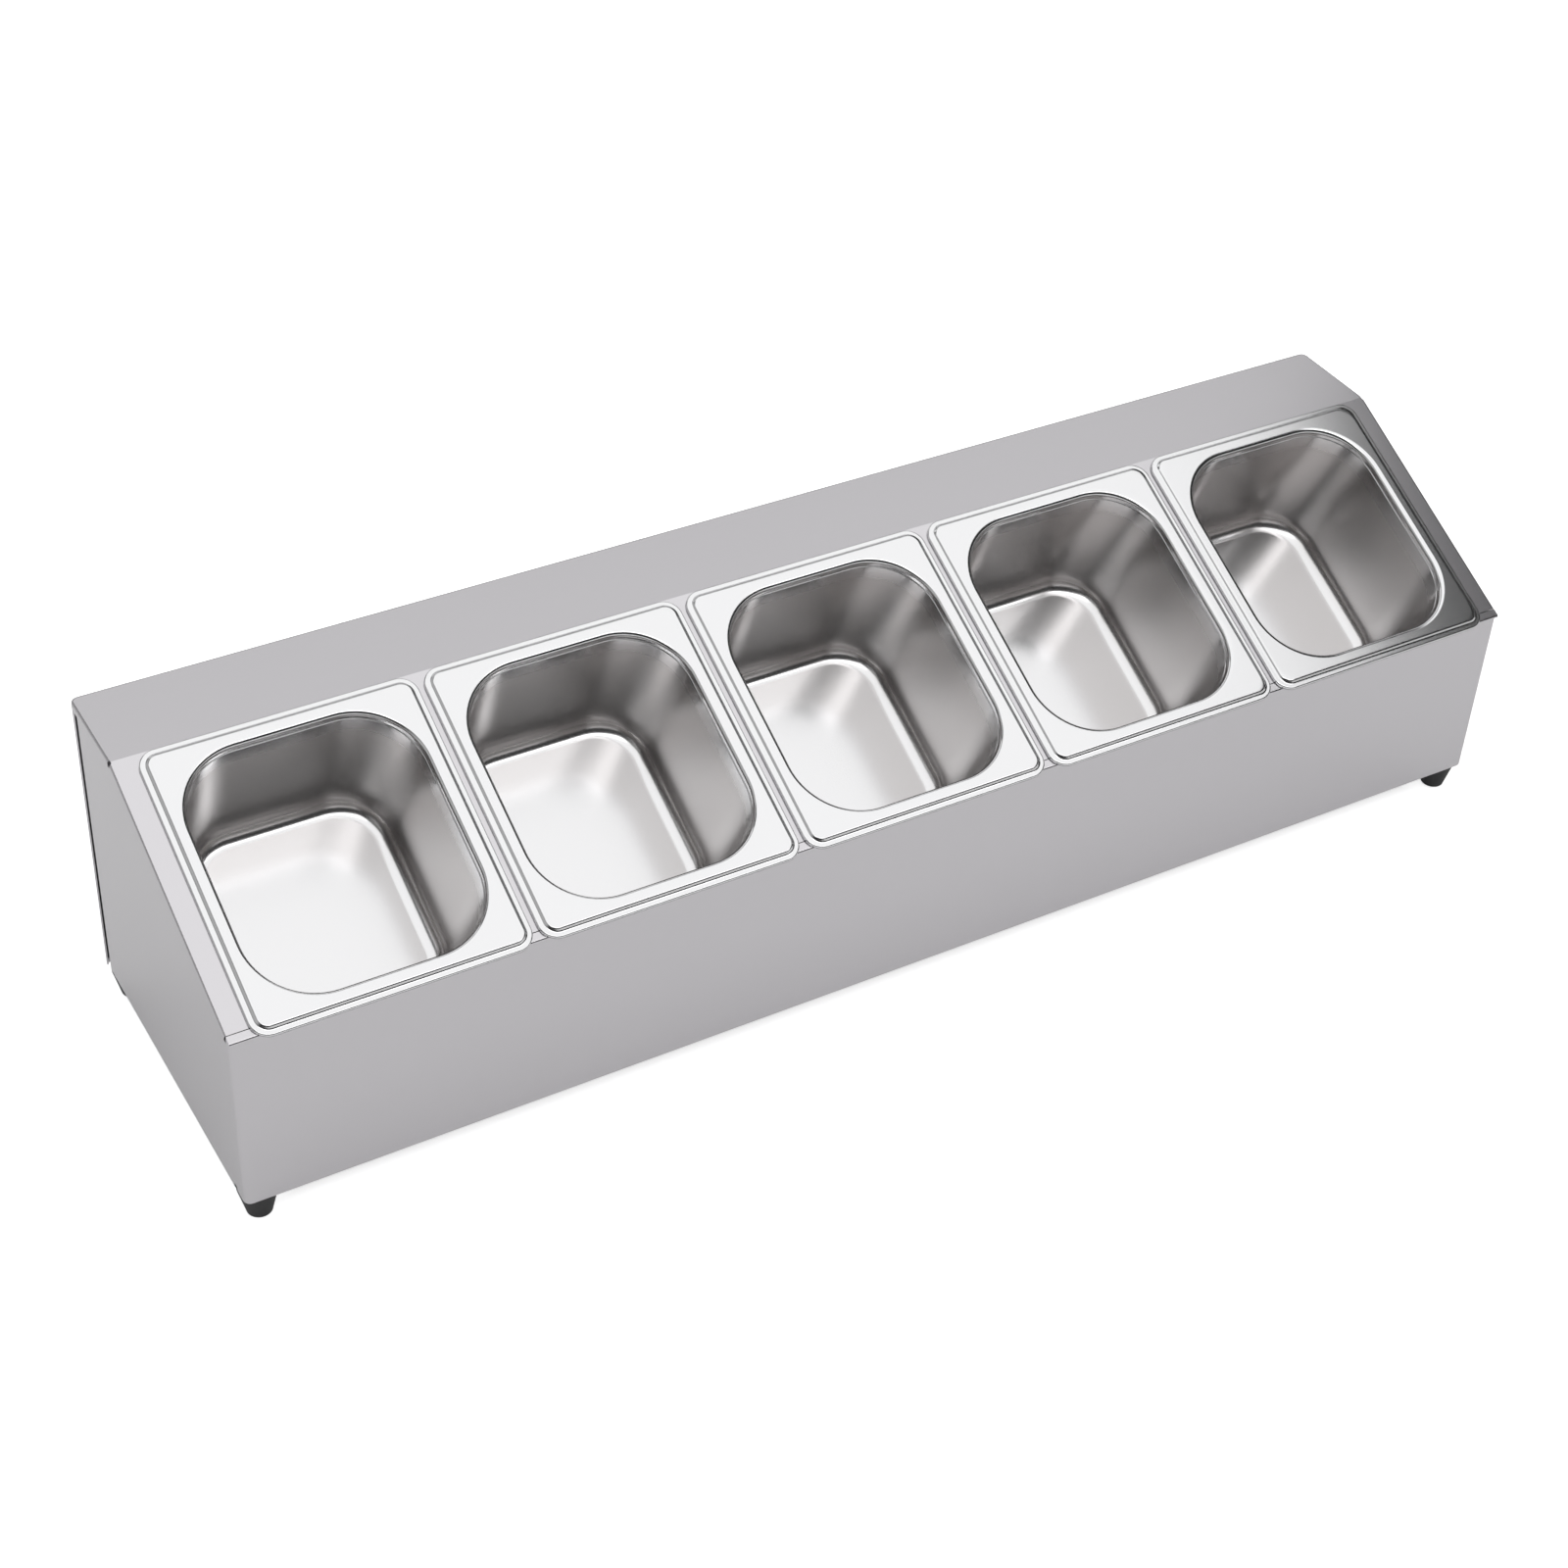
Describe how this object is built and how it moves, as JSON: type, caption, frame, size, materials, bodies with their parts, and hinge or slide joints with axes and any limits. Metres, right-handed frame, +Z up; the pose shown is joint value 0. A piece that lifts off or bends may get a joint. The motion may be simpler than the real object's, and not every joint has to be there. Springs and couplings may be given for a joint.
{
  "type": "spice box",
  "caption": "Sloped stainless steel counter box with a flat rear shelf, a row of lift-out gastronorm pans in the slope and rubber feet, for spices and toppings.",
  "frame": {"origin": "on the worktop under the middle of the whole box, pans included", "axes": "+X along the box to the right as seen from the front, +Z up, the front and its slope face -Y"},
  "size_m": [0.852, 0.2234, 0.2154],
  "materials": {
    "casing_steel": "fine satin stainless sheet",
    "pan_steel": "bright drawn stainless sheet",
    "foot_rubber": "matt black rubber",
    "zinc_steel": "plated steel fasteners"
  },
  "bodies": {
    "casing": {"top_cover": "casing_steel", "body_shell": "casing_steel", "foot_front_left": "foot_rubber", "foot_front_right": "foot_rubber", "foot_rear_left": "foot_rubber", "foot_rear_right": "foot_rubber", "foot_washers": "zinc_steel", "foot_screws": "zinc_steel", "front_nuts": "zinc_steel", "rear_nuts": "zinc_steel"},
    "pan_1_lift": {"pan_1": "pan_steel"},
    "pan_2_lift": {"pan_2": "pan_steel"},
    "pan_3_lift": {"pan_3": "pan_steel"},
    "pan_4_lift": {"pan_4": "pan_steel"},
    "pan_5_lift": {"pan_5": "pan_steel"}
  },
  "joints": [
    {"name": "pan_1_slide", "type": "slide", "parent": "casing", "child": "pan_1_lift", "axis": [0, -0.4264, 0.9046], "range_m": [0, 0.125]},
    {"name": "pan_2_slide", "type": "slide", "parent": "casing", "child": "pan_2_lift", "axis": [0, -0.4264, 0.9046], "range_m": [0, 0.125]},
    {"name": "pan_3_slide", "type": "slide", "parent": "casing", "child": "pan_3_lift", "axis": [0, -0.4264, 0.9046], "range_m": [0, 0.125]},
    {"name": "pan_4_slide", "type": "slide", "parent": "casing", "child": "pan_4_lift", "axis": [0, -0.4264, 0.9046], "range_m": [0, 0.125]},
    {"name": "pan_5_slide", "type": "slide", "parent": "casing", "child": "pan_5_lift", "axis": [0, -0.4264, 0.9046], "range_m": [0, 0.125]}
  ]
}
